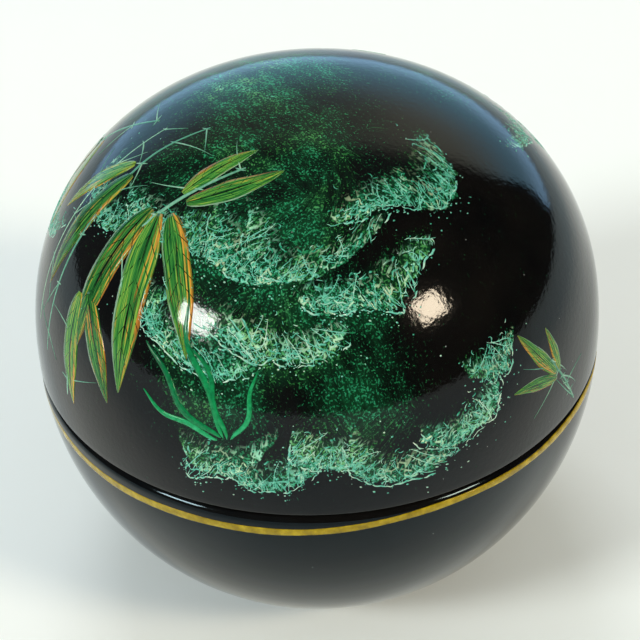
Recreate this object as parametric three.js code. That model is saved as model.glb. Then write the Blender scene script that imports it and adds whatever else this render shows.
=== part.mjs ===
// A ball-shaped lacquer trinket box: a bowl with a glued collar, and a domed lid that lifts off.
// Millimetres, +Z up. The origin is the middle of the foot, on the surface that the box stands on.
import * as THREE from "three";

// The outside of the ball
const ballRadius = 50; // at the joint between lid and bowl, the widest part
const lidHeight = 45.6; // from the lid's lower edge to its crown
const lidFullness = 2.28; // 2 is an ellipse, and more is squarer at the shoulder
const bowlHeight = 48; // from the table to the bowl's rim
const footRadius = 20; // of the flat that the bowl's bottom is cut to
const seamGap = 0.6; // the fine black gap in view between the two rims

// The walls
const wall = 4.5;
const floorThickness = 4;
const shoulderRadius = 1.6; // rounding of the bowl's rim
const lidEdgeRadius = 0.5; // rounding of the lid's lower edge
const footEdge = 0.6; // bevel round the foot

// The collar and the rebates that it fits
const rimWall = 2.8; // the bowl's wall outside the collar
const collarWall = 1.8;
const collarSet = 7; // glued length below the bowl's rim
const collarRise = 6.5; // length above the bowl's rim
const collarBevel = 0.5; // lead-in for the lid
const glueGap = 0.2; // between the collar and the bowl
const slipClearance = 0.3; // between the collar and the lid
const seatClearance = 0.1; // between the collar's top and the lid's seat

// Facets
const turns = 84; // round the axis
const outerSteps = 15;
const innerSteps = 11;
const roundSteps = 5;

const lacquerBlack = new THREE.MeshStandardMaterial({ color: 0x0b0c0c, roughness: 0.08, metalness: 0 });
const lacquerGreen = new THREE.MeshStandardMaterial({ color: 0x12352a, roughness: 0.1, metalness: 0 });
const lacquerRed = new THREE.MeshStandardMaterial({ color: 0x6e120c, roughness: 0.2, metalness: 0 });

// The bowl is half an ellipse that would reach this deep if the foot were not cut across it.
const bowlDepth = bowlHeight / Math.sqrt(1 - (footRadius / ballRadius) ** 2);
const rebateRadius = ballRadius - rimWall;
const collarOuter = rebateRadius - glueGap;
const collarInner = collarOuter - collarWall;
const collarTop = bowlHeight + collarRise;
const lidRim = bowlHeight + seamGap;
const lidSeat = collarTop + seatClearance;

// Points of a profile are [distance from the axis, height].

// A quarter or less of an ellipse, or of a fuller curve, from angle a to angle b.
// At 0 it is at its widest, and at a right angle it meets the axis. A negative depth curves downwards.
function ovalArc(radius, depth, height, fullness, a, b, steps) {
  return Array.from({ length: steps + 1 }, (_, i) => {
    const t = a + ((b - a) * i) / steps;
    return [
      radius * Math.abs(Math.cos(t)) ** (2 / fullness),
      height + depth * Math.abs(Math.sin(t)) ** (2 / fullness),
    ];
  });
}

function roundArc(centreR, centreZ, radius, a, b, steps) {
  return Array.from({ length: steps + 1 }, (_, i) => {
    const t = a + ((b - a) * i) / steps;
    return [centreR + radius * Math.cos(t), centreZ + radius * Math.sin(t)];
  });
}

// Turns a profile round the box's upright axis into a closed solid.
function turned(name, profile, material) {
  const points = profile.map(([r, z]) => new THREE.Vector2(r, z));
  const geometry = new THREE.LatheGeometry(points, turns).rotateX(Math.PI / 2);
  const mesh = new THREE.Mesh(geometry, material);
  mesh.name = name;
  return mesh;
}

// The bowl: foot, outer ellipse, rounded shoulder, rim, rebate for the collar, and the inside.
function baseShell() {
  const shoulder = Math.min(shoulderRadius, rimWall - footEdge);
  const outerStart = Math.asin((bowlHeight - footEdge) / bowlDepth);
  const outerEnd = Math.asin(shoulder / bowlDepth);
  const outer = ovalArc(ballRadius, -bowlDepth, bowlHeight, 2, outerStart, outerEnd, outerSteps);
  const shoulderOuter = outer[outer.length - 1][0];
  const innerDepth = bowlDepth - wall;
  const innerStart = Math.asin(collarSet / innerDepth);
  const innerEnd = Math.asin((bowlHeight - floorThickness) / innerDepth);
  const inner = ovalArc(ballRadius - wall, -innerDepth, bowlHeight, 2, innerStart, innerEnd, innerSteps);
  return turned(
    "base_shell",
    [
      [0, 0],
      [outer[0][0] - footEdge, 0],
      ...outer,
      ...roundArc(shoulderOuter - shoulder, bowlHeight - shoulder, shoulder, 0, Math.PI / 2, roundSteps).slice(1),
      [rebateRadius, bowlHeight],
      [rebateRadius, bowlHeight - collarSet],
      ...inner,
      [0, floorThickness],
    ],
    lacquerBlack,
  );
}

// The collar: a thin ring glued into the bowl's rebate, standing above the rim to hold the lid in place.
function baseCollar() {
  const foot = bowlHeight - collarSet + glueGap;
  return turned(
    "base_collar",
    [
      [collarInner, foot],
      [collarOuter, foot],
      [collarOuter, collarTop - collarBevel],
      [collarOuter - collarBevel, collarTop],
      [collarInner + collarBevel, collarTop],
      [collarInner, collarTop - collarBevel],
      [collarInner, foot],
    ],
    lacquerRed,
  );
}

// The lid: the dome outside, and inside a rebate that slips over the collar and seats on its top.
function lidShell() {
  const edge = Math.min(lidEdgeRadius, (ballRadius - collarOuter - slipClearance) / 3);
  const rebate = collarOuter + slipClearance;
  const start = Math.asin((edge / lidHeight) ** (lidFullness / 2));
  const outer = ovalArc(ballRadius, lidHeight, lidRim, lidFullness, start, Math.PI / 2, outerSteps);
  const innerHeight = lidHeight - wall;
  const innerStart = Math.asin(((lidSeat - lidRim) / innerHeight) ** (lidFullness / 2));
  const inner = ovalArc(ballRadius - wall, innerHeight, lidRim, lidFullness, Math.PI / 2, innerStart, innerSteps);
  return turned(
    "lid_shell",
    [
      [0, lidRim + innerHeight],
      ...inner.slice(1),
      [rebate, lidSeat],
      [rebate, lidRim + edge],
      [rebate + edge, lidRim],
      ...roundArc(outer[0][0] - edge, lidRim + edge, edge, -Math.PI / 2, 0, roundSteps),
      ...outer.slice(1, -1),
      [0, lidRim + lidHeight],
    ],
    lacquerGreen,
  );
}

const box = new THREE.Group();
box.add(baseShell(), baseCollar(), lidShell());

export default box;
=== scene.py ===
# Ball-shaped lacquer trinket box: a domed, painted lid over a black bowl with a gold line.
# The dictionaries hold millimetres, and everything that is built is in metres.
import bpy
import math
import random
from functools import partial
from mathutils import Matrix, Vector


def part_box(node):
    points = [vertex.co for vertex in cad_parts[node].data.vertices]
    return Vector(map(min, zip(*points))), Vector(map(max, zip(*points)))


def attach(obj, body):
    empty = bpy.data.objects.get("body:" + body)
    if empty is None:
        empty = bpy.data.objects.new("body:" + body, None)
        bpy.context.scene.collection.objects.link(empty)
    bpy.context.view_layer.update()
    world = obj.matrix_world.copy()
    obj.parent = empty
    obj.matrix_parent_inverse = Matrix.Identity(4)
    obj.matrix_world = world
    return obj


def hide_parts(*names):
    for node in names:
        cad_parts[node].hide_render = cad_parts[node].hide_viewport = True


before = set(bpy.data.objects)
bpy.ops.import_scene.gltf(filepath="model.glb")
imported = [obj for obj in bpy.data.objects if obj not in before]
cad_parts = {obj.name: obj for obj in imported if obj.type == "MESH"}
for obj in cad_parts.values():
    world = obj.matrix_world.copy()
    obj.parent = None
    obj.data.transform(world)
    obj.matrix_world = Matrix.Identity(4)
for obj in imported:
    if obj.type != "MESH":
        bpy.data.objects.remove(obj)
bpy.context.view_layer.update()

mm = 0.001
tiny = 1e-6  # millimetres within which two points are one
chance = random.Random(41)  # seeded, so that every run lays the same strokes


# An sRGB hex colour as linear light
def linear(hexColour):
    channels = [int(hexColour[i:i + 2], 16) / 255 for i in (0, 2, 4)]
    return [c / 12.92 if c <= 0.04045 else ((c + 0.055) / 1.055) ** 2.4 for c in channels] + [1.0]


# Adds one node. Inputs are given in their order, and settings are properties, or inputs by name. A node or
# socket that is given for an input is linked to it, and "stops" fills a ramp.
def addNode(tree, kind, *inputs, stops=(), **settings):
    made = tree.nodes.new("ShaderNode" + kind)
    for key in [key for key in settings if hasattr(made, key)]:
        setattr(made, key, settings.pop(key))
    for number, (place, colour) in enumerate(stops):
        elements = made.color_ramp.elements
        element = elements[number] if number < len(elements) else elements.new(place)
        element.position, element.color = place, linear(colour)
    inUse = [socket for socket in made.inputs if socket.enabled]
    named = [next(socket for socket in inUse if socket.name == key) for key in settings]
    for socket, value in [*zip(inUse, inputs), *zip(named, settings.values())]:
        if isinstance(value, bpy.types.Node):
            value = next(output for output in value.outputs if output.enabled)
        if isinstance(value, bpy.types.NodeSocket):
            tree.links.new(value, socket)
        else:
            socket.default_value = value
    return made


# Empties the node tree of a material or world, and gives back the function that adds nodes to it
def startTree(owner):
    owner.use_nodes = True
    owner.node_tree.nodes.clear()
    return partial(addNode, owner.node_tree)


def startMaterial(name):
    material = bpy.data.materials.new(name)
    return material, startTree(material)


def newMesh(name, points, faces, materials):
    mesh = bpy.data.meshes.new(name)
    mesh.from_pydata(points, [], faces)
    mesh.polygons.foreach_set("use_smooth", [True] * len(mesh.polygons))
    for material in materials:
        mesh.materials.append(material)
    return mesh


def newObject(name, data):
    made = bpy.data.objects.new(name, data)
    bpy.context.scene.collection.objects.link(made)
    return made


# A piece of the box. "choose" holds each face's material number, and "sharp" the crisp edges as point pairs.
def newPiece(name, points, faces, materials, body, node=None, choose=None, sharp=()):
    mesh = newMesh(name, points, faces, materials)
    if choose:
        mesh.polygons.foreach_set("material_index", choose)
    if sharp:
        edgeIsSharp = [frozenset(edge.vertices) in sharp for edge in mesh.edges]
        mesh.attributes.new("sharp_edge", "BOOLEAN", "EDGE").data.foreach_set("value", edgeIsSharp)
    mesh.update()
    piece = newObject(name, mesh)
    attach(piece, body)
    if node:
        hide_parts(node)
    return piece


# The three shells, turned inside the CAD's surfaces

cadBowl, cadLid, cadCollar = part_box("base_shell"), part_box("lid_shell"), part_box("base_collar")

shell = {
    "ballRadius": cadBowl[1].x / mm,
    "bowlHeight": cadBowl[1].z / mm,
    "lidRim": cadLid[0].z / mm,
    "lidTop": cadLid[1].z / mm,
    "lidFullness": 2.28,  # 2 is an ellipse, more is squarer
    "footRadius": 20,
    "wall": 4.5,
    "floorThickness": 4,
    "footEdge": 0.6,  # rounding round the foot
    "footTurn": -25,  # degrees at which that rounding meets the side
    "shoulder": 1.6,  # rounding of the bowl's rim
    "lidEdge": 0.5,  # rounding of the lid's lower edge
    "smallEdge": 0.2,
    "rebateRadius": 47.2,  # of the recess that the collar is glued into
    "lidRebateRadius": 47.3,  # of the one that slips over it
    "lidSeat": 54.6,  # height of the ledge that rests on the collar
    "collarSet": 7,  # glued length below the bowl's rim
    "collarBevel": 0.5,
    "collarWall": 1.8,
    "paintAllowance": 0.05,  # the lacquer lies this far inside the CAD's surface, to leave room for paint
    "lowestPaint": 0.015,  # slope from the joint's middle, above which paint stays off the lid's edge
    "turns": 288,
    "outerSteps": {"bowl": 90, "lid": 110},
    "innerSteps": 60,
    "shoulderSteps": 12,
}
ballRadius = shell["ballRadius"] - shell["paintAllowance"]
lidHeight = shell["lidTop"] - shell["lidRim"] - shell["paintAllowance"]
# the bowl is half an ellipse that would reach this deep if the foot weren't cut across it
bowlDepth = shell["bowlHeight"] / math.sqrt(1 - (shell["footRadius"] / shell["ballRadius"]) ** 2)


def ovalArc(radius, depth, height, fullness, a, b, steps):
    angles = [a + (b - a) * i / steps for i in range(steps + 1)]
    power = 2 / fullness
    return [(radius * abs(math.cos(t)) ** power, height + depth * abs(math.sin(t)) ** power) for t in angles]


def roundArc(centreR, centreZ, radius, a, b, steps=6):
    angles = [math.radians(a + (b - a) * i / steps) for i in range(steps + 1)]
    return [(centreR + radius * math.cos(t), centreZ + radius * math.sin(t)) for t in angles]


# Turns runs of (profile points, material number) round the upright axis. Runs meet in a crisp edge.
def turned(name, runs, materials, body, node):
    turns, profile, kinds, corners = shell["turns"], [], [], []
    for run, kind in runs:
        for point in run:
            if profile and math.dist(profile[-1], point) < tiny:
                continue
            kinds.append(kind)
            profile.append(point)
        corners.append(len(profile) - 1)
    if math.dist(profile[0], profile[-1]) < tiny:  # a ring, which closes on itself
        profile.pop()
    points, rings = [], []
    for r, z in profile:
        count = 1 if r < tiny else turns  # one point on the axis
        rings.append([len(points) + i % count for i in range(turns)])
        for i in range(count):
            a = 2 * math.pi * i / turns
            points.append((r * math.cos(a) * mm, r * math.sin(a) * mm, z * mm))
    faces, choose = [], []
    for k, kind in enumerate(kinds[1:]):
        low, high = rings[k], rings[(k + 1) % len(rings)]
        for i in range(turns):
            j = (i + 1) % turns
            faces.append(list(dict.fromkeys([low[i], low[j], high[j], high[i]])))
            choose.append(kind)
    sharp = set()
    for k in corners:
        ring = rings[k % len(rings)]
        sharp.update(frozenset((ring[i], ring[(i + 1) % turns])) for i in range(turns))
    return newPiece(name, points, faces, materials, body, node, choose, sharp)


# Material 0 is black and 1 is red
def buildBowl(materials):
    s, rim = shell, shell["bowlHeight"]
    rebate, small, shoulder = s["rebateRadius"], s["smallEdge"], s["shoulder"]
    depth, innerDepth = bowlDepth - s["paintAllowance"], bowlDepth - s["wall"]
    start, end = math.asin((rim - s["footEdge"]) / depth), math.asin(shoulder / depth)
    outer = ovalArc(ballRadius, -depth, rim, 2, start, end, s["outerSteps"]["bowl"])
    start, end = math.asin(s["collarSet"] / innerDepth), math.asin((rim - s["floorThickness"]) / innerDepth)
    inner = ovalArc(s["ballRadius"] - s["wall"], -innerDepth, rim, 2, start, end, s["innerSteps"])
    foot = roundArc(outer[0][0] - s["footEdge"], s["footEdge"], s["footEdge"], -90, s["footTurn"])
    shoulderArc = roundArc(outer[-1][0] - shoulder, rim - shoulder, shoulder, 0, 90, s["shoulderSteps"])
    rimEdge = roundArc(rebate + small, rim - small, small, 90, 180)
    ledge = (rebate, rim - s["collarSet"])
    return turned("bowl", [
        ([(0, 0), (foot[0][0] - 1, 0)], 0),
        (foot + outer + shoulderArc, 0),
        (rimEdge + [ledge], 0),
        ([ledge, inner[0]], 1),
        (inner, 1),
        ([inner[-1], (0, s["floorThickness"])], 1),
    ], materials, "base", "base_shell")


def buildCollar(materials):
    low, high, outside = cadCollar[0].z / mm, cadCollar[1].z / mm, cadCollar[1].x / mm
    inside, bevel = outside - shell["collarWall"], shell["collarBevel"]
    top = roundArc(outside - bevel, high - bevel, bevel, 0, 90)
    top += roundArc(inside + bevel, high - bevel, bevel, 90, 180)
    return turned("collar", [
        ([(inside, low), (outside, low)], 0),
        ([(outside, low)] + top, 0),
        ([(inside, high - bevel), (inside, low)], 1),
    ], materials, "base", "base_collar")


# Material 0 is black, 1 is red and 2 is the painted outside
def buildLid(materials):
    s, rim, fullness = shell, shell["lidRim"], shell["lidFullness"]
    innerRadius, innerHeight = s["ballRadius"] - s["wall"], s["lidTop"] - rim - s["wall"]
    end = math.asin(((s["lidSeat"] - rim) / innerHeight) ** (fullness / 2))
    inner = ovalArc(innerRadius, innerHeight, rim, fullness, math.pi / 2, end, s["innerSteps"])
    start = math.asin((s["lidEdge"] / lidHeight) ** (fullness / 2))
    outer = ovalArc(ballRadius, lidHeight, rim, fullness, start, math.pi / 2, s["outerSteps"]["lid"])
    inner[0], outer[-1] = (0, inner[0][1]), (0, outer[-1][1])
    edge = roundArc(outer[0][0] - s["lidEdge"], rim + s["lidEdge"], s["lidEdge"], -90, 0)
    small, seat = s["smallEdge"], (s["lidRebateRadius"], s["lidSeat"])
    return turned("lid", [
        (inner, 1),
        ([inner[-1], seat], 1),
        ([seat] + roundArc(seat[0] + small, rim + small, small, 180, 270), 0),
        (edge[:1], 0),
        (edge + outer[1:], 2),
    ], materials, "lid", "lid_shell")


# Where paint goes on the lid. Directions start at the joint's middle; azimuth 0 is the front, 90 the right.

lidCentre = Vector((0, 0, shell["lidRim"]))


def domeDirection(azimuth, elevation):
    a, e = math.radians(azimuth), math.radians(elevation)
    return Vector((math.sin(a) * math.cos(e), -math.cos(a) * math.cos(e), math.sin(e)))


# The point of the lid that lies in a direction, and the normal there
def onDome(direction):
    d = direction.copy()
    flat = max(math.hypot(d.x, d.y), tiny)
    d.z = max(d.z, shell["lowestPaint"] * flat)
    p = shell["lidFullness"]
    scale = ((flat / ballRadius) ** p + (d.z / lidHeight) ** p) ** (-1 / p)
    flat, d = flat * scale, d * scale
    side = (flat / ballRadius) ** (p - 1) / ballRadius
    normal = Vector((d.x / flat * side, d.y / flat * side, (d.z / lidHeight) ** (p - 1) / lidHeight))
    return lidCentre + d, normal.normalized()


# A flat sheet of paper laid on the lid at a point, and turned: x to the right and y up, in millimetres
def paperOn(azimuth, elevation, turn=0):
    point, normal = onDome(domeDirection(azimuth, elevation))
    a, t = math.radians(azimuth), math.radians(turn)
    right = Vector((math.cos(a), math.sin(a), 0))
    up = normal.cross(right)
    right, up = right * math.cos(t) + up * math.sin(t), up * math.cos(t) - right * math.sin(t)
    return lambda x, y: onDome(point - lidCentre + right * x + up * y)


def newSheet():
    return {"points": [], "faces": [], "marks": []}


sink = 0.04  # how far a stroke's underside lies inside the lacquer


# Lays one brush stroke: a thin closed shell along a path of (x, y), rounded on top and let into the lacquer.
# Its points are marked with how far along and across the stroke they are, and with the stroke's own number.
def layStroke(sheet, place, path, halfWidths, lift, seed, across=3, closed=False):
    count, base = len(path), len(sheet["points"])
    row = [-1 + 2 * j / (across - 1) for j in range(across)]
    for i, (x, y) in enumerate(path):
        before, after = path[max(i - 1, 0)], path[min(i + 1, count - 1)]
        if closed and i in (0, count - 1):  # the two ends of a ring lie a whole turn apart
            before, after = path[0], path[1]
        along = Vector((after[0] - before[0], after[1] - before[1])).normalized()
        for v, side in [(v, 1) for v in row] + [(v, -1) for v in row[-2:0:-1]]:
            point, normal = place(x - along.y * v * halfWidths[i], y + along.x * v * halfWidths[i])
            height = lift * math.sqrt(max(1 - v * v, 0)) if side > 0 else -sink
            sheet["points"].append((point + normal * height) * mm)
            sheet["marks"].append((i / (count - 1), v, seed))
    ring = 2 * across - 2
    for i in range(count if closed else count - 1):
        low, high = base + i * ring, base + (i + 1) % count * ring
        for k in range(ring):
            n = (k + 1) % ring
            sheet["faces"].append((low + n, low + k, high + k, high + n))
    if not closed:
        last = base + (count - 1) * ring
        sheet["faces"] += [[base + k for k in range(ring)], [last + k for k in reversed(range(ring))]]


def finishSheet(name, sheet, material, body="lid"):
    piece = newPiece(name, sheet["points"], sheet["faces"], [material], body)
    marks = piece.data.attributes.new("stroke", "FLOAT_VECTOR", "POINT")
    marks.data.foreach_set("vector", [value for mark in sheet["marks"] for value in mark])
    return piece


# The drifts: rows of round lobes sponged in green, each bright along its front and fading behind it.

drifts = {
    # from and to (azimuth, elevation), lobes, radius range, tail length, how the front leans, brightness
    "rows": [
        ((-66, 56), (38, 66), 7, (6.5, 12.5), 17, -2, 0.84),
        ((-38, 38), (18, 48), 6, (5.5, 11.5), 14, -8, 1.0),
        ((-20, 18), (34, 25), 6, (5.5, 11), 14, -4, 1.0),
        ((100, 48), (174, 40), 6, (7, 12), 15, 10, 0.9),
        ((203, 32), (264, 42), 5, (6.5, 11), 13, -10, 0.9),
    ],
    "bow": 5,  # degrees that a row dips in its middle
    "stagger": 2.6,  # degrees up or down
    "turn": 16,  # degrees either way
    "window": (-0.35, 0.5),  # share of the radius ahead of the middle where a lobe fades in
    # the round lobes are bent out of true: along which slant (radians to a mm), from where, by how many mm
    "bends": [((0.13, -0.1, 0.2), (0.4, 2.1, 4.0), (2.1, 2.1, 1.6)),
              ((-0.34, 0.4, 0.3), (1.2, 0.3, 2.6), (0.55, 0.55, 0.45))],
}


def planLobes():
    plan = []
    for begin, end, count, radii, tail, lean, bright in drifts["rows"]:
        for i in range(count):
            u = (i + chance.uniform(-0.22, 0.22)) / (count - 1)
            azimuth = begin[0] + (end[0] - begin[0]) * u
            elevation = begin[1] + (end[1] - begin[1]) * u - drifts["bow"] * math.sin(math.pi * u)
            elevation += chance.uniform(-1, 1) * drifts["stagger"]
            place = paperOn(azimuth, elevation, lean + chance.uniform(-1, 1) * drifts["turn"])
            centre = place(0, 0)[0]
            plan.append({
                "place": place,
                "centre": centre,
                "radius": chance.uniform(*radii),
                "tail": tail,
                "forward": (place(0, -1)[0] - centre).normalized(),
                "aside": (place(1, 0)[0] - centre).normalized(),
                "bright": bright * chance.uniform(0.85, 1),
            })
    return plan


lobes = planLobes()


# How far the pattern is shifted at a point of the lid. The painted lacquer does the same sum in its nodes.
def bending(point):
    shift = Vector((0, 0, 0))
    for slant, start, size in drifts["bends"]:
        phases = point.cross(Vector(slant)) + Vector(start)
        shift += Vector([math.sin(phase) * reach for phase, reach in zip(phases, size)])
    return shift


# Where a point of a round lobe's drawing lies once the pattern is bent
def bent(lobe, x, y):
    flat = lobe["place"](x, y)[0]
    shift = -bending(flat)
    for i in range(3):
        shift = -bending(flat + shift)
    return x + shift.dot(lobe["aside"]), y - shift.dot(lobe["forward"])


# The lace: fine pale strokes at the front of each lobe and behind it. Shades are shares of its brightness.

lace = {
    "reach": 78,  # degrees either side of the front's middle
    "scallops": (0.5, 2.7),  # how far the front bulges, and how soon the bulges follow each other
    "crinkles": (0.22, 0.9),
    # fine strokes that comb backwards from the front
    "comb": {"spacing": 0.5, "gaps": [0.5, 0.8, 1, 1.6], "begin": [0.1, 0.6, 1.4, 2.6], "length": (0.4, 2.4),
             "lean": 1.3, "halfWidth": 0.075, "taper": (1, 1, 0.7, 0.2), "shade": 0.62},
    # broken lines behind the front: depth, share drawn, shade
    "lines": [(0.0, 0.7, 0.96), (1.3, 0.45, 0.72), (2.6, 0.42, 0.6), (4.2, 0.34, 0.5), (6.0, 0.25, 0.42)],
    "dash": {"length": (0.5, 2.4), "stray": 0.35, "ripple": 0.12, "halfWidth": 0.15,
             "taper": (0.3, 0.8, 1, 0.8, 1.1, 0.3)},
    "plume": {"reach": 0.8, "spacing": 2.2, "length": (2.2, 6.5), "lean": 0.7, "hook": (0.6, 2),
              "halfWidth": 0.085, "taper": (0.15, 0.4, 0.6, 0.8, 1, 0.9, 0.4), "shade": 0.82},
    "barb": {"spacing": 0.5, "length": (0.5, 1.4), "taper": (0.7, 0.55, 0.15)},
    # curls and dots are scattered round the front, by so many degrees and millimetres
    "curl": {"count": 26, "spread": (36, 3.0), "length": (0.6, 1.5), "bend": 160,
             "taper": (0.4, 1, 0.9, 0.7, 0.3)},
    "dot": {"count": 70, "spread": (38, 1.7), "radius": (0.06, 0.17), "taper": (0.5, 1, 0.5)},
    "overlap": 0.6,  # how far inside a later lobe's edge this one is covered
    "lift": 0.03,
}


# A point of a lobe's scalloped front, or of a line that follows it further back. Angle 0 is straight ahead.
def frontPoint(radius, wave, angle, depth):
    a = math.radians(angle - 90)
    (bulge, bulgeEvery), (crinkle, crinkleEvery) = lace["scallops"], lace["crinkles"]
    r = radius - depth + bulge * abs(math.sin(a * radius / bulgeEvery + wave))
    r += crinkle * math.sin(a * radius / crinkleEvery + 2 * wave + depth)
    return r * math.cos(a), r * math.sin(a)


# Lays a stroke of a lobe's drawing, unless the front half of a lobe that comes later lies over it
def layOnLobe(sheet, lobe, later, path, halfWidth, taper, shade):
    middle = lobe["place"](*path[len(path) // 2])[0]
    for other in later:
        away = middle - other["centre"]
        if away.length < other["radius"] - lace["overlap"] and away.dot(other["forward"]) > 0:
            return
    path, widths = [bent(lobe, x, y) for x, y in path], [halfWidth * w for w in taper]
    layStroke(sheet, lobe["place"], path, widths, lace["lift"], shade * lobe["bright"])


# In these three, perMm is degrees to a millimetre of the front, and fade thins the strokes out at its ends.

def layComb(perMm, front, lay):
    comb, angle = lace["comb"], -lace["reach"]
    while angle < lace["reach"]:
        angle += comb["spacing"] * perMm * chance.choice(comb["gaps"])
        fade = 1 - (abs(angle) / lace["reach"]) ** 2.2
        if chance.random() > fade:
            continue
        length = chance.uniform(*comb["length"]) * (0.5 + 0.5 * fade)
        lean = chance.uniform(-1, 1) * comb["lean"] * length * perMm
        begin = chance.choice(comb["begin"])
        path = [front(angle + lean * u * u, begin + u * length) for u in (0, 0.33, 0.67, 1)]
        halfWidth = comb["halfWidth"] * chance.uniform(0.6, 1.3)
        lay(path, halfWidth, comb["taper"], comb["shade"] * chance.uniform(0.7, 1.2))


def layLines(perMm, front, lay):
    dash = lace["dash"]
    for depth, share, shade in lace["lines"]:
        angle = -lace["reach"]
        while angle < lace["reach"]:
            span = chance.uniform(*dash["length"]) * perMm
            fade = 1 - (abs(angle) / lace["reach"]) ** 4
            if chance.random() < share * fade:
                shift = depth + chance.uniform(-1, 1) * dash["stray"] * (depth > 0)
                path = [front(angle + span * u, shift + dash["ripple"] * math.sin(7 * u + angle))
                        for u in (0, 0.2, 0.4, 0.6, 0.8, 1)]
                halfWidth = dash["halfWidth"] * chance.uniform(0.5, 1.35)
                lay(path, halfWidth, dash["taper"], shade * chance.uniform(0.75, 1))
            angle += span * chance.uniform(0.8, 1.2)


# Feathery plumes: a stem that runs forward and hooks over at the front, with barbs on both sides
def layPlumes(perMm, front, lay):
    plume, barb, reach = lace["plume"], lace["barb"], lace["plume"]["reach"] * lace["reach"]
    angle = -reach
    while angle < reach:
        angle += plume["spacing"] * perMm * chance.uniform(0.6, 1.4)
        length, shade = chance.uniform(*plume["length"]), plume["shade"] * chance.uniform(0.7, 1.15)
        lean = chance.uniform(-1, 1) * plume["lean"] * length * perMm
        hook = chance.choice([-1, 1]) * chance.uniform(*plume["hook"]) * perMm

        def stemAt(u):  # turn and depth, from the stem's foot at 0 to its tip at the front
            return angle + lean * (1 - u) ** 2 + hook * u ** 4, (1 - u ** 1.3) * length + 0.15

        lay([front(*stemAt(k / 6)) for k in range(7)], plume["halfWidth"], plume["taper"], shade)
        for k in range(int(length / barb["spacing"])):
            u = (k + chance.random()) * barb["spacing"] / length
            turn, depth = stemAt(u)
            long = chance.uniform(*barb["length"]) * (0.5 + 0.5 * u)
            aside = long * chance.choice([-1, 1]) * perMm
            path = [front(turn + aside * v, depth - long * (0.9 * v - 0.5 * v * v)) for v in (0, 0.5, 1)]
            lay(path, plume["halfWidth"], barb["taper"], shade * chance.uniform(0.7, 1.1))


def layCurls(radius, lay):
    curl = lace["curl"]
    degrees, depth = curl["spread"]
    for i in range(curl["count"]):
        a = math.radians(chance.gauss(0, degrees) - 90)
        r, heading = radius - abs(chance.gauss(0, depth)) - 0.5, chance.uniform(0, 360)
        length, bend = chance.uniform(*curl["length"]), chance.uniform(-1, 1) * curl["bend"]
        path = brushPath((r * math.cos(a), r * math.sin(a)), heading, length, bend, 4)
        halfWidth = lace["comb"]["halfWidth"] * chance.uniform(0.7, 1.2)
        lay(path, halfWidth, curl["taper"], chance.uniform(0.4, 0.95))


def layDots(radius, lay):
    dot = lace["dot"]
    degrees, depth = dot["spread"]
    for i in range(dot["count"]):
        a = math.radians(chance.gauss(0, degrees) - 90)
        r, size = radius + chance.gauss(0, depth), chance.uniform(*dot["radius"])
        x, y = r * math.cos(a), r * math.sin(a)
        lay([(x - size, y), (x, y), (x + size, y)], size, dot["taper"], chance.uniform(0.4, 1))


def buildLace(material):
    sheet = newSheet()
    for number, lobe in enumerate(lobes):
        radius = lobe["radius"]
        front = partial(frontPoint, radius, chance.uniform(0, 6))
        lay = partial(layOnLobe, sheet, lobe, lobes[number + 1:])
        for layPart in (layComb, layLines, layPlumes):
            layPart(math.degrees(1 / radius), front, lay)
        layCurls(radius, lay)
        layDots(radius, lay)
    return finishSheet("lid_lace", sheet, material)


# Sprays of slender leaves on thin stems, each one drawn on a sheet of paper

sprays = [
    {
        "at": (-50, 38),  # azimuth, elevation
        # foot (x, y), heading in degrees, length, width, bend in degrees
        "leaves": [
            ((2, 12), -38, 25, 6.6, -20), ((0, 11), -70, 31, 8.2, -10), ((-2, 11), -101, 27, 7.4, 12),
            ((-5, -6), -50, 20, 6.0, -14), ((-7, -7), -88, 23, 6.6, 8), ((-12, 14), -112, 26, 7.2, 10),
            ((-14, 16), -142, 19, 5.6, 16), ((3, 15), 46, 20, 5.6, 22), ((1, 16), 80, 17, 4.8, -12),
        ],
        # points, half width at the middle
        "stems": [
            ([(-7, -29), (-6, -14), (-3, 2), (1, 14), (7, 27)], 0.42),
            ([(-17, -24), (-15, -8), (-13, 8), (-12, 20), (-8, 31)], 0.36),
            ([(-23, -20), (-21, 0), (-19, 14), (-17, 26)], 0.22),
        ],
    },
    {
        "at": (44, 13),
        "leaves": [((6, -1), 158, 11, 3.0, 14), ((6, 0), 128, 13, 3.4, -10), ((7, 0), 96, 9, 2.6, 8)],
        "stems": [([(12, -9), (8, -2), (5, 3)], 0.26)],
    },
    {
        "at": (168, 30),
        "leaves": [
            ((0, 8), -60, 27, 6.8, -12), ((-1, 8), -95, 29, 7.2, 10), ((-2, 9), -130, 22, 5.8, 14),
            ((8, -2), -40, 19, 5.4, -12), ((7, -3), -78, 18, 5.4, 8),
        ],
        "stems": [([(6, -24), (4, -8), (0, 8), (-4, 22)], 0.4), ([(14, -20), (9, -4), (7, 10)], 0.3)],
    },
    {
        "at": (-112, 34),
        "leaves": [((4, 6), -70, 25, 6.4, -10), ((3, 6), -105, 27, 6.8, 8), ((5, 8), -35, 18, 5.0, -14)],
        "stems": [([(0, -24), (2, -6), (4, 8), (8, 24)], 0.38)],
    },
]


# A smooth curve through all the knots
def smoothPath(knots, steps):
    path = []
    for i in range(steps + 1):
        u = i / steps * (len(knots) - 1)
        k = min(int(u), len(knots) - 2)
        t = u - k
        p = [knots[max(k - 1, 0)], knots[k], knots[k + 1], knots[min(k + 2, len(knots) - 1)]]
        weights = [-0.5 * t + t * t - 0.5 * t ** 3, 1 - 2.5 * t * t + 1.5 * t ** 3,
                   0.5 * t + 2 * t * t - 1.5 * t ** 3, -0.5 * t * t + 0.5 * t ** 3]
        path.append(tuple(sum(w * q[axis] for w, q in zip(weights, p)) for axis in (0, 1)))
    return path


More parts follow.
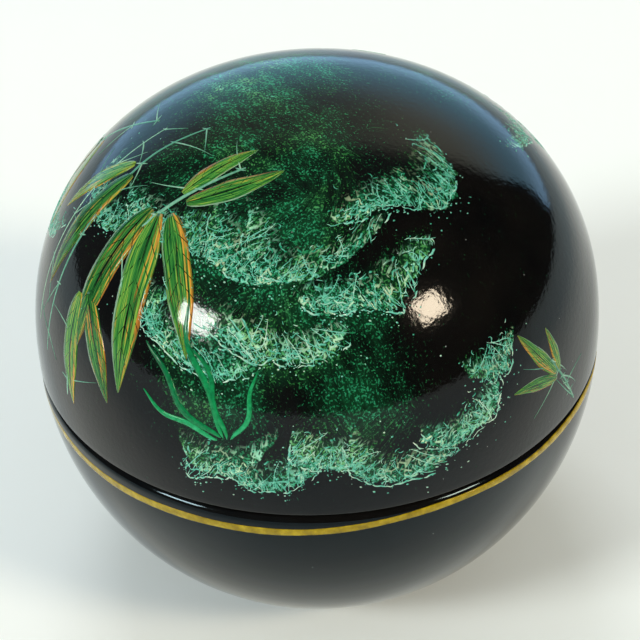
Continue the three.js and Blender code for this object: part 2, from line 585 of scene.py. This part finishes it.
# The path of a brush that sets out in a heading, turns by a bend on the way and may wave from side to side
def brushPath(foot, heading, length, bend, steps, wave=0):
    path, (x, y) = [foot], foot
    for i in range(steps):
        u = (i + 0.5) / steps
        a = math.radians(heading + bend * u + wave * math.sin(9 * u))
        x, y = x + math.cos(a) * length / steps, y + math.sin(a) * length / steps
        path.append((x, y))
    return path


leafStroke = {"steps": 26, "lift": 0.06, "thinnest": 0.04}


def buildLeaves(material):
    sheet, steps = newSheet(), leafStroke["steps"]
    for spray in sprays:
        place = paperOn(*spray["at"])
        for foot, heading, length, width, bend in spray["leaves"]:
            widths = []
            for i in range(steps + 1):
                u = i / steps
                share = (u + 0.02) ** 0.6 * (1.01 - u) ** 0.9 / 0.49  # about 1 where the leaf is widest
                waver = 1 + 0.05 * math.sin(13 * u + heading)
                widths.append(max(leafStroke["thinnest"], width / 2 * share * waver))
            path = brushPath(foot, heading, length, bend, steps)
            layStroke(sheet, place, path, widths, leafStroke["lift"], chance.random(), across=9)
    return finishSheet("lid_leaves", sheet, material)


stemStroke = {
    "steps": 34,
    "lift": 0.05,
    # short dashes across the stem, every so many steps; slant is in degrees and length in stem widths
    "knots": {"first": 3, "every": 5, "slant": 25, "length": (2.5, 5), "taper": (0.5, 0.6, 0.45),
              "thinnest": 0.05},
    # a fine twig from each knot; its heading strays by some degrees
    "twigs": {"headings": [30, 150, -40, -140], "stray": 18, "length": (5, 11), "bend": 25, "steps": 9,
              "halfWidth": 0.16, "thinnest": 0.02},
}


def buildStems(material):
    sheet, steps, lift = newSheet(), stemStroke["steps"], stemStroke["lift"]
    knot, twig = stemStroke["knots"], stemStroke["twigs"]
    twigWidths = []
    for k in range(twig["steps"] + 1):
        twigWidths.append(twig["halfWidth"] * (1 - (k / twig["steps"]) ** 1.5) + twig["thinnest"])
    for spray in sprays:
        place = paperOn(*spray["at"])
        for points, half in spray["stems"]:
            path = smoothPath(points, steps)
            swell = [math.sin(math.pi * (0.05 + 0.9 * i / steps)) for i in range(steps + 1)]
            widths = [half * (0.45 + 0.55 * s) for s in swell]
            layStroke(sheet, place, path, widths, lift, chance.random(), across=5)
            for x, y in path[knot["first"]:-1:knot["every"]]:
                slant = chance.uniform(-1, 1) * knot["slant"]
                reach = half * chance.uniform(*knot["length"])
                foot = (x - reach, y - reach * math.sin(math.radians(slant)))
                path = brushPath(foot, slant, 2 * reach, 0, 4)
                widths = [knot["thinnest"], *(half * w for w in knot["taper"]), knot["thinnest"]]
                layStroke(sheet, place, path, widths, lift, chance.random())
                heading = chance.choice(twig["headings"]) + chance.uniform(-1, 1) * twig["stray"]
                length, bend = chance.uniform(*twig["length"]), chance.uniform(-1, 1) * twig["bend"]
                path = brushPath((x, y), heading, length, bend, twig["steps"])
                layStroke(sheet, place, path, twigWidths, lift, chance.random())
    return finishSheet("lid_stems", sheet, material)


# Glossy raised grass blades

blades = {
    "at": (-22, 26),
    # foot, heading, length, half width, bend and wave in degrees
    "list": [
        ((3, -9), 150, 20, 0.75, -30, 17), ((3.4, -9), 124, 23, 0.7, -16, -15),
        ((4, -9), 100, 16, 0.62, 30, 19), ((2.4, -9.6), 176, 15, 0.6, -30, -16),
        ((4.6, -9), 62, 13, 0.5, 34, -18),
    ],
    "steps": 30,
    "tip": 0.04,
    "lift": 0.16,
}


def buildBlades(material):
    sheet, place, steps = newSheet(), paperOn(*blades["at"]), blades["steps"]
    shares = [i / steps for i in range(steps + 1)]
    for foot, heading, length, half, bend, wave in blades["list"]:
        widths = [half * (0.12 + u ** 0.5 * (1 - u) ** 0.8 / 0.56) for u in shares]
        widths[-1] = blades["tip"]
        path = brushPath(foot, heading, length, bend, steps, wave)
        layStroke(sheet, place, path, widths, blades["lift"], chance.random(), across=7)
    return finishSheet("lid_grass", sheet, material)


# The hand-painted gold line under the bowl's shoulder

goldLine = {
    "height": 45.46,
    "halfWidth": 0.8,
    "lift": 0.03,
    "waves": [(1, 0.6, 0), (2, 0.46, -2), (3, 0.29, -14), (8, 0.2, -58)],  # times round, height, degrees
    "swells": [(1, 0.08, -161), (2, 0.07, -130), (23, 0.03, 0)],  # the same for the half width
    "tremble": 0.015,
    "steps": 480,
}


# A point on the bowl and the normal there, x along its widest circle from the front and z up
def onBowl(x, z):
    azimuth, fullDepth, shoulder = x / ballRadius, bowlDepth - shell["paintAllowance"], shell["shoulder"]
    start = shell["bowlHeight"] - shoulder
    depth = shell["bowlHeight"] - min(z, start)
    r = ballRadius * math.sqrt(1 - (depth / fullDepth) ** 2)
    outward, upward = r / ballRadius ** 2, -depth / fullDepth ** 2
    if z > start:  # on the shoulder's rounding
        rise = min((z - start) / shoulder, 0.99)
        r += shoulder * (math.sqrt(1 - rise * rise) - 1)
        outward, upward = math.sqrt(1 - rise * rise), rise
    normal = Vector((math.sin(azimuth) * outward, -math.cos(azimuth) * outward, upward))
    return Vector((math.sin(azimuth) * r, -math.cos(azimuth) * r, z)), normal.normalized()


def waveSum(waves, azimuth):
    return sum(size * math.sin(n * azimuth + math.radians(where)) for n, size, where in waves)


def buildGoldLine(material):
    g, sheet, path, widths = goldLine, newSheet(), [], []
    for i in range(g["steps"]):
        azimuth = 2 * math.pi * i / g["steps"]
        path.append((azimuth * ballRadius, g["height"] + waveSum(g["waves"], azimuth)))
        widths.append(g["halfWidth"] + waveSum(g["swells"], azimuth) + chance.uniform(-1, 1) * g["tremble"])
    layStroke(sheet, onBowl, path, widths, g["lift"], 0.5, across=9, closed=True)
    return finishSheet("bowl_gold_line", sheet, material, "base")


# Finishes. Each is paint or lacquer under the same clear varnish, so the gloss is alike.
# A MapRange's numbers are the two ends that it maps from and the two that it maps to, or else 0 and 1.

varnish = {"Roughness": 0.08, "IOR": 1.37}
smoothly = {"interpolation_type": "SMOOTHSTEP"}


# The surface position in millimetres, so that a pattern's scale is 1 / its size
def positionInMm(add):
    return add("VectorMath", add("TexCoord").outputs["Object"], 1 / mm, operation="SCALE")


# Hand-rubbed varnish isn't even: waves 13 mm long bend what it mirrors, and ripples break up a highlight.
def varnishRelief(add, position, ripple=0.008):
    waves = add("TexNoise", position, Scale=1 / 13, Detail=1)
    relief = add("Bump", Strength=1, Distance=0.07 * mm, Height=waves)
    ripples = add("TexNoise", position, Scale=1 / 0.8, Detail=3)
    return add("Bump", Strength=1, Distance=ripple * mm, Height=ripples, Normal=relief)


def finish(add, colour, normal, **settings):
    shader = add("BsdfPrincipled", colour, Normal=normal, **{**varnish, **settings})
    add("OutputMaterial", shader)


# Specks of dust caught in the varnish, about 0.2 mm across and 4 mm apart
def addDust(add, position, colour):
    cells = add("TexVoronoi", position, Scale=1 / 2.2)
    keep = add("Math", cells.outputs["Color"], 0.72, operation="GREATER_THAN")
    near = add("Math", cells.outputs["Distance"], 0.045, operation="LESS_THAN")
    dust = add("Math", keep, near, operation="MULTIPLY")
    return add("Mix", dust, colour, linear("8a8f8c"), data_type="RGBA")


# Black lacquer: many thin coats over a turned core, rubbed and varnished. Nearly black, with a faint brown
# cloudiness, and its reflections lean a little to blue.
def blackLacquer():
    material, add = startMaterial("blackLacquer")
    position = positionInMm(add)
    clouds = add("TexNoise", position, Scale=1 / 9, Detail=4)
    colour = add("ValToRGB", clouds, stops=[(0.3, "080808"), (0.75, "12100e")])
    colour, normal = addDust(add, position, colour), varnishRelief(add, position, 0.004)
    finish(add, colour, normal, **{"Specular Tint": linear("bfdfec")})
    return material


# Red lacquer lining: brushed on thinner than the outside, so it is satin and shows the turning underneath
def redLacquer():
    material, add = startMaterial("redLacquer")
    position = positionInMm(add)
    blotches = add("TexNoise", position, Scale=1 / 6, Detail=5)
    colour = add("ValToRGB", blotches, stops=[(0.3, "4a100b"), (0.55, "6a1810"), (0.8, "7e2316")])
    rings = {"wave_type": "RINGS", "rings_direction": "Z"}
    turning = add("TexWave", position, Scale=1 / 7, Distortion=1.5, Detail=2, **rings)
    finish(add, colour, add("Bump", Strength=0.3, Distance=0.03 * mm, Height=turning), Roughness=0.22)
    return material


# Painted lacquer, the lid's outside: green sponged and combed into the black. It thickens and pales towards
# the front of each lobe, where a comb's hair-fine streaks fan out from behind the lobe's middle. Between the
# lobes they run across the lid. Streaks and dots are drawn a little coarser than real ones, so they show.
sponging = {
    "hair": (0.23, 1.1),  # mm across a streak and along it
    "tuft": (1.6, 7.0),  # the same for a clump of streaks
    "mesh": (1.1, 1.9),  # the same for a mesh of the pale web near the fronts
    # cloudy patterns: size in mm and detail
    "noises": {"patches": (6.5, 3), "clouds": (9, 4), "tint": (1.1, 2), "edges": (2.4, 3), "wander": (3.2, 2),
               "speckles": (0.36, 1)},
    "raggedness": 1.6,  # mm that a lobe's outline strays
    "frontEdge": 0.5,  # mm over which a lobe's edge fades
    "apex": 10,  # mm that the streaks of a lobe start behind its middle
    "fanRadius": 18,  # how far from there they have these sizes
    "fanStep": 7.3,  # from one lobe's pattern to the next, so that no two are alike
    "bend": (0.09, 1.6, 0.0),  # how far they wander: turn, and mm along
    "driftShade": 0.82,  # how pale the thickest drift is, and the thin sponging
    "washShade": 0.72,
    # thin sponging between and behind the rows: azimuth, elevation, reach, strength
    "washes": [(-30, 74, 30, 0.62), (214, 72, 28, 0.8), (-48, 60, 24, 0.5), (10, 66, 15, 0.36),
               (-14, 52, 24, 0.68), (0, 37, 20, 0.64), (8, 24, 16, 0.62), (-20, 27, 19, 0.72),
               (130, 52, 28, 0.6), (150, 40, 20, 0.5), (235, 46, 26, 0.6), (240, 34, 16, 0.5)],
    "greens": [(0.0, "12452b"), (0.35, "1c6d43"), (0.6, "2f9267"), (0.82, "62bda2"), (1.0, "c0e2d2")],
    "warmGreens": [(0.0, "1f4a1c"), (0.35, "2f6a2e"), (0.6, "56944a"), (0.82, "98c884"), (1.0, "dfe4b4")],
    "blacks": [(0.3, "070707"), (0.75, "100e0c")],
    "stains": [(0.3, "070e0a"), (0.5, "0a2314"), (0.68, "0d351d"), (1.0, "0c2c1e")],
    "web": [(0.35, "74ceb2"), (0.65, "cfe6b8")],
}


# How thick the drifts lie, and where a point is among the streaks: the turn round a lobe's apex and the
# distance from its middle, or between the lobes two directions across the lid
def addDrifts(add, position, edges):
    s, drift, shifted = sponging, 0, position
    crosswise = add("VectorMath", position, Vector((0.83, 0.56, 0)) / s["fanRadius"], operation="DOT_PRODUCT")
    lengthwise = add("VectorMath", position, (-0.5, 0.75, 0.45), operation="DOT_PRODUCT")
    fans = add("CombineXYZ", crosswise, lengthwise)
    wobble = add("MapRange", edges, 0, 1, -s["raggedness"], s["raggedness"])
    for slant, start, size in drifts["bends"]:
        phases = add("VectorMath", position, slant, operation="CROSS_PRODUCT")
        phases = add("VectorMath", phases, start, operation="ADD")
        swing = add("VectorMath", phases, operation="SINE")
        shifted = add("VectorMath", swing, size, shifted, operation="MULTIPLY_ADD")
    for number, lobe in enumerate(lobes):
        centre, forward, radius = lobe["centre"], lobe["forward"], lobe["radius"]
        distance = add("VectorMath", shifted, centre, operation="DISTANCE")
        away = add("VectorMath", shifted, centre - forward * s["apex"], operation="SUBTRACT")
        ahead = add("VectorMath", away, forward, operation="DOT_PRODUCT")
        beside = add("VectorMath", away, lobe["aside"], operation="DOT_PRODUCT")
        turn = add("Math", beside, ahead, operation="ARCTAN2")
        fan = add("CombineXYZ", turn, distance, s["fanStep"] * number)
        fromCentre = add("Math", distance, wobble, operation="ADD")
        begin, end = (s["apex"] + share * radius for share in drifts["window"])
        window = add("MapRange", ahead, begin, end, **smoothly)
        inside = add("MapRange", fromCentre, radius, radius - s["frontEdge"])
        tail = add("MapRange", fromCentre, radius - lobe["tail"], radius, 0.3)
        tail = add("Math", tail, 2.2, operation="POWER")
        tail = add("Math", tail, lobe["bright"], operation="MULTIPLY")
        part = add("Math", inside, tail, operation="MULTIPLY")
        part = add("Math", part, window, operation="MULTIPLY")
        leads = add("Math", part, drift, operation="GREATER_THAN")
        fans = add("Mix", leads, fans, fan, data_type="VECTOR")
        drift = add("Math", drift, part, operation="MAXIMUM")
    return drift, fans


def addWashes(add, position):
    wash = 0
    for azimuth, elevation, reach, strength in sponging["washes"]:
        middle = onDome(domeDirection(azimuth, elevation))[0]
        distance = add("VectorMath", position, middle, operation="DISTANCE")
        part = add("MapRange", distance, reach, reach * 0.2, 0, strength, **smoothly)
        wash = add("Math", wash, part, operation="MAXIMUM")
    return wash


def paintedLacquer():
    material, add = startMaterial("paintedLacquer")
    s, position, noise, streaks = sponging, positionInMm(add), {}, {}
    for name, (size, detail) in s["noises"].items():
        noise[name] = add("TexNoise", position, Scale=1 / size, Detail=detail)
    drift, fans = addDrifts(add, position, noise["edges"])
    patchy = add("MapRange", noise["patches"], 0.35, 0.62, 0.66, 1.06)
    wash = add("Math", addWashes(add, position), patchy, operation="MULTIPLY")
    density = add("Math", drift, wash, operation="MAXIMUM")
    combed = add("VectorMath", noise["wander"].outputs["Color"], s["bend"], fans, operation="MULTIPLY_ADD")
    for kind in ("hair", "tuft", "mesh"):
        across, along = s[kind]
        scale = (s["fanRadius"] / across, 1 / along, 1)
        streaks[kind] = add("VectorMath", combed, scale, operation="MULTIPLY")
    tufts = add("TexNoise", streaks["tuft"], Scale=1, Detail=3)
    tufted = add("MapRange", tufts, 0.35, 0.65, 0.78, 1.14)
    density = add("Math", density, tufted, operation="MULTIPLY")

    # the denser the paint, the more of the fine streaks shows
    hair = add("TexNoise", streaks["hair"], Scale=1, Detail=3, Roughness=0.65, Distortion=0.6)
    threshold = add("MapRange", density, 0, 1, 0.67, 0.46)
    above = add("Math", hair, threshold, operation="SUBTRACT")
    streak = add("MapRange", above, 0, 0.1)
    speckled = add("MapRange", noise["speckles"], 0.4, 0.52, 0.12)
    streak = add("Math", streak, speckled, operation="MULTIPLY")

    # single dots of the sponge, which thin out into the black
    rare = add("MapRange", density, 0, 1, 0.75, 0.45)
    dots = add("Math", noise["speckles"], rare, operation="SUBTRACT")
    dots = add("MapRange", dots, 0, 0.06)
    streak = add("Math", streak, dots, operation="MAXIMUM")

    # how pale the green is, over a black that is stained green where the paint is dense
    tintShift = add("MapRange", noise["tint"], 0.3, 0.7, -0.16, 0.16)
    thin = add("Math", wash, s["washShade"], operation="MULTIPLY")
    thick = add("Math", drift, s["driftShade"], operation="MULTIPLY")
    level = add("Math", thick, thin, operation="MAXIMUM")
    level = add("Math", level, tufted, tintShift, operation="MULTIPLY_ADD")
    green = add("ValToRGB", level, stops=s["greens"])
    warmGreen = add("ValToRGB", level, stops=s["warmGreens"])
    warmth = add("MapRange", noise["clouds"], 0.47, 0.6, 0, 0.75)
    green = add("Mix", warmth, green, warmGreen, data_type="RGBA")
    black = add("ValToRGB", noise["clouds"], stops=s["blacks"])
    stain = add("ValToRGB", density, stops=s["stains"])
    stained = add("MapRange", density, 0.16, 0.42)
    ground = add("Mix", stained, black, stain, data_type="RGBA")
    colour = add("Mix", streak, ground, green, data_type="RGBA")

    # a pale, broken web of fine lines near the fronts
    cells = add("TexVoronoi", streaks["mesh"], Scale=1, feature="DISTANCE_TO_EDGE")
    thread = add("MapRange", cells, 0.09, 0.06)
    near = add("MapRange", drift, 0.35, 0.85)
    broken = add("MapRange", noise["tint"], 0.44, 0.56)
    thread = add("Math", thread, near, operation="MULTIPLY")
    thread = add("Math", thread, broken, operation="MULTIPLY")
    pale = add("ValToRGB", noise["patches"], stops=s["web"])
    colour = add("Mix", thread, colour, pale, data_type="RGBA")
    finish(add, addDust(add, position, colour), varnishRelief(add, position, 0.024))
    return material


# Leaf paint: greens brushed over each other along the leaf, ochre dabbed on one edge, and dark veins on top.
# Bristle marks are long and thin: how many along a stroke, across it, and from one stroke to the next.
leafColours = {
    "greens": [(0.34, "10381a"), (0.44, "1f6029"), (0.53, "3c8335"), (0.62, "79a43e"), (0.72, "b3b24c")],
    "ochres": [(0.38, "a8682a"), (0.62, "e2a23c")],
    "vein": "0d160d",
    "rim": "9cc3a0",
    "bristles": (3, 9, 40),
    "dabs": (2.2, 5, 90),
}


def leafPaint():
    material, add = startMaterial("leafPaint")
    position = positionInMm(add)
    stroke = add("Attribute", attribute_name="stroke").outputs["Vector"]
    along, across, seed = add("SeparateXYZ", stroke).outputs
    brushed = add("Mapping", stroke, Scale=leafColours["bristles"])
    bristles = add("TexNoise", brushed, Scale=1, Detail=4, Roughness=0.65)
    shift = add("Math", seed, 0.16, -0.08, operation="MULTIPLY_ADD")
    level = add("Math", bristles, shift, operation="ADD")
    greens = add("ValToRGB", level, stops=leafColours["greens"])
    dry = add("Mapping", stroke, Scale=leafColours["dabs"])
    dabs = add("TexNoise", dry, Scale=1, Detail=5, Roughness=0.7)
    edge = add("MapRange", across, 0.1, 1, 0, 0.13)
    ochreLevel = add("Math", dabs, edge, operation="ADD")
    ochreShare = add("MapRange", ochreLevel, 0.58, 0.66)
    ochre = add("ValToRGB", bristles, stops=leafColours["ochres"])
    colour = add("Mix", ochreShare, greens, ochre, data_type="RGBA")
    # side veins slant forward from the midrib, and like it they break where the brush ran dry
    slope = add("Math", across, operation="ABSOLUTE")
    lean = add("Math", slope, -0.14, along, operation="MULTIPLY_ADD")
    teeth = add("Math", lean, 0.06, operation="PINGPONG")
    sideVein = add("MapRange", teeth, 0.006, 0.003)
    midrib = add("MapRange", slope, 0.09, 0.05)
    veins = add("Math", sideVein, midrib, operation="MAXIMUM")
    broken = add("MapRange", dabs, 0.42, 0.5)
    veins = add("Math", veins, broken, operation="MULTIPLY")
    colour = add("Mix", veins, colour, linear(leafColours["vein"]), data_type="RGBA")
    rim = add("MapRange", across, -0.86, -0.92)
    rim = add("Math", rim, broken, operation="MULTIPLY")
    colour = add("Mix", rim, colour, linear(leafColours["rim"]), data_type="RGBA")
    finish(add, colour, varnishRelief(add, position))
    return material


# A paint laid in single strokes, paler where the brush pressed. Colours run from a stroke's thin end to its
# full part, and seedWeight is how much they differ from stroke to stroke.
def strokePaint(name, thin, middle, full, seedWeight, ripple=0.0035):
    material, add = startMaterial(name)
    position = positionInMm(add)
    stroke = add("Attribute", attribute_name="stroke").outputs["Vector"]
    along, _, seed = add("SeparateXYZ", stroke).outputs
    grain = add("TexNoise", position, Scale=1 / 0.7, Detail=3)
    spread = add("MapRange", grain, 0.3, 0.7, -0.15, 0.15)
    base = add("Math", seed, seedWeight, 0.5 * (1 - seedWeight), operation="MULTIPLY_ADD")
    fall = add("Math", along, -0.3, base, operation="MULTIPLY_ADD")
    level = add("Math", fall, spread, operation="ADD")
    colour = add("ValToRGB", level, stops=[(0.1, thin), (0.45, middle), (0.85, full)])
    finish(add, colour, varnishRelief(add, position, ripple))
    return material


# Gold line: ochre and bronze powder in varnish, drawn freehand. Olive-gold and cloudy, with less gloss.
def goldPaint():
    material, add = startMaterial("goldPaint")
    position = positionInMm(add)
    clouds = add("TexNoise", position, Scale=1 / 1.8, Detail=4, Roughness=0.6)
    colour = add("ValToRGB", clouds, stops=[(0.3, "836c04"), (0.5, "a08608"), (0.7, "bfa21e")])
    finish(add, colour, varnishRelief(add, position, 0.005), Roughness=0.14)
    return material


black, red = blackLacquer(), redLacquer()
buildBowl([black, red])
buildCollar([black, red])
buildLid([black, red, paintedLacquer()])
print("shells built")
buildGoldLine(goldPaint())
buildLeaves(leafPaint())
buildStems(strokePaint("mintPaint", "4f8f74", "82b89b", "b4d3b4", 0.5))
buildBlades(strokePaint("emeraldPaint", "0d5a34", "148a4e", "3cb77c", 0.4, 0.002))
foam = buildLace(strokePaint("paleLacePaint", "1f8a66", "6cc6ac", "d4e8cf", 0.9))
print("paint laid,", len(foam.data.polygons), "faces in the lace")


# The studio, in metres: a pale floor and backdrop, two lamps that the gloss mirrors and two that it doesn't

studio = {
    "paper": "f5faf9",
    # where the floor's paper changes: towards (x, y), from and to, colour
    # the last, grey just in front of the box, is painted shade: it darkens what the bowl's gloss mirrors
    "shades": [((0, 1), (0.19, 0.5), "c8dcec"), ((1, 0), (0.11, 0.4), "c4d6de"),
               ((-1, 0), (0.11, 0.4), "c4d6de"), ((0, -1), (0.025, 0.13), "bccad2")],
    "floorSize": 14.0,
    "sweep": [(6.0, 0.001), (6.5, 0.08), (6.85, 0.35), (7.0, 0.9), (7.0, 4.2)],  # backdrop: distance, height
    "sweepSides": 96,
    "lampReach": 5.0,
    # where the box mirrors each lamp, which way it stands from there, its width, height, tint and brightness
    "lamps": [((-26.8, 35.7), (-57, 32), 1.3, 0.94, "fdfffa", 36),
              ((25, 36.5), (54, 35), 1.0, 0.93, "ffedd0", 38)],
    # an even one under the ceiling, and one above and behind for the box's shadow: place, width and so on
    "overhead": [((0, 0, 4), 13.0, 13.0, "fbfdff", 0.28), ((-0.45, 1.6, 3.65), 1.5, 1.5, "fbfdff", 4.8)],
}


# Backdrop paper, matt: nearly white under the box and behind it, and a shade cooler or greyer further off.
# The grey just in front of the box is painted shade, which darkens what the bowl's gloss mirrors.
def floorPaper(name, shades=()):
    material, add = startMaterial(name)
    place, colour = add("TexCoord").outputs["Object"], linear(studio["paper"])
    for (x, y), (near, far), shade in shades:
        along = add("VectorMath", place, (x, y, 0), operation="DOT_PRODUCT")
        share = add("MapRange", along, near, far, **smoothly)
        colour = add("Mix", share, colour, linear(shade), data_type="RGBA")
    shader = add("BsdfPrincipled", colour, Roughness=0.9, **{"Specular IOR Level": 0})
    add("OutputMaterial", shader)
    return material


def addStage(name, points, faces, material):
    staged = newObject(name, newMesh(name, points, faces, [material]))
    return staged


half = studio["floorSize"] / 2
floorCorners = [(-half, -half, 0), (half, -half, 0), (half, half, 0), (-half, half, 0)]
addStage("floor", floorCorners, [(0, 1, 2, 3)], floorPaper("floorPaper", studio["shades"]))

# the same paper swept up all round, for low views; the gloss mirrors the sky behind it
sweep, sides = studio["sweep"], studio["sweepSides"]
bearings = [2 * math.pi * i / sides for i in range(sides)]
sweepPoints = [(r * math.cos(a), r * math.sin(a), z) for r, z in sweep for a in bearings]
sweepFaces = []
for k in range(len(sweep) - 1):
    for i in range(sides):
        here, beyond = k * sides + i, k * sides + (i + 1) % sides
        sweepFaces.append((here, beyond, beyond + sides, here + sides))
backdrop = addStage("backdrop", sweepPoints, sweepFaces, floorPaper("backdropPaper"))
backdrop.visible_glossy = False


def addLamp(spot, target, width, height, tint, brightness):
    data = bpy.data.lights.new("softLamp", "AREA")
    data.shape, data.size, data.size_y, data.color = "RECTANGLE", width, height, linear(tint)[:3]
    data.energy = brightness * width * height * math.pi
    lamp = newObject("softLamp", data)
    lamp.location = spot
    lamp.rotation_euler = (target - spot).to_track_quat("-Z", "Y").to_euler()
    return lamp


for seenAt, towards, *settings in studio["lamps"]:
    mirrored = onDome(domeDirection(*seenAt))[0] * mm
    addLamp(mirrored + domeDirection(*towards) * studio["lampReach"], mirrored, *settings)
for spot, *settings in studio["overhead"]:
    addLamp(Vector(spot), lidCentre * mm, *settings).visible_glossy = False


# The sky that the gloss mirrors: dim, with a wide window behind the box and a dark patch at the right.
# A middle is azimuth and elevation, and a reach the cosines at its outer and inner edge. The window's light
# is in linear numbers, because it is brighter than a hex colour can be. It varies with x and with height.
sky = {
    "dim": "424b50",
    "window": {"middle": (174, 0), "reach": (0.56, 0.7)},
    "highLeft": [0.3, 0.33, 0.3, 1.0],
    "highRight": [0.88, 0.88, 0.72, 1.0],
    "rightFrom": (-0.1, 0.48),
    "low": {"light": [0.5, 0.98, 1.3, 1.0], "heights": (0.6, 0.22)},
    "horizon": {"light": [0.9, 1.55, 2.25, 1.0], "heights": (0.22, 0.0)},
    "dark": {"middle": (60, 14), "reach": (0.5, 0.56), "colour": "1c1e22", "raggedness": 0.35},
}


def buildSky():
    world = bpy.data.worlds.new("sky")
    add = startTree(world)
    direction = add("TexCoord").outputs["Generated"]
    x, _, z = add("SeparateXYZ", direction).outputs
    rightShare = add("MapRange", x, *sky["rightFrom"], **smoothly)
    glow = add("Mix", rightShare, sky["highLeft"], sky["highRight"], data_type="RGBA")
    for band in (sky["low"], sky["horizon"]):
        share = add("MapRange", z, *band["heights"], **smoothly)
        glow = add("Mix", share, glow, band["light"], data_type="RGBA")
    window, dark = sky["window"], sky["dark"]
    toWindow = add("VectorMath", direction, domeDirection(*window["middle"]), operation="DOT_PRODUCT")
    share = add("MapRange", toWindow, *window["reach"], **smoothly)
    colour = add("Mix", share, linear(sky["dim"]), glow, data_type="RGBA")
    toDark = add("VectorMath", direction, domeDirection(*dark["middle"]), operation="DOT_PRODUCT")
    edge = add("TexNoise", direction, Scale=2.2, Detail=2)
    ragged = add("Math", edge, dark["raggedness"], toDark, operation="MULTIPLY_ADD")
    share = add("MapRange", ragged, *dark["reach"], **smoothly)
    colour = add("Mix", share, colour, linear(dark["colour"]), data_type="RGBA")
    add("OutputWorld", add("Background", colour, Strength=1))
    bpy.context.scene.world = world


buildSky()
print("studio lit")


camera = {
    "elevation": 37.98,
    "roll": 2.37,
    "distance": 288.65,
    "aside": (-0.433, 0.101),  # where the middle of the joint lies from the middle of the view
    "lens": 90,
    "sensor": 36,
}


def placeCamera():
    tilt, roll = math.radians(camera["elevation"]), math.radians(camera["roll"])
    back, level = Vector((0, -math.cos(tilt), math.sin(tilt))), Vector((1, 0, 0))
    upright = back.cross(level)
    side = level * math.cos(roll) - upright * math.sin(roll)
    above = level * math.sin(roll) + upright * math.cos(roll)
    right, up = camera["aside"]
    spot = lidCentre - side * right - above * up + back * camera["distance"]
    data = bpy.data.cameras.new("camera")
    data.lens, data.sensor_width = camera["lens"], camera["sensor"]
    placed = newObject("camera", data)
    rows = [(side[i], above[i], back[i], spot[i] * mm) for i in range(3)]
    placed.matrix_world = Matrix([*rows, (0, 0, 0, 1)])
    bpy.context.scene.camera = placed


placeCamera()
bpy.context.scene.view_settings.view_transform = "Standard"
print("camera placed")

bpy.context.view_layer.update()
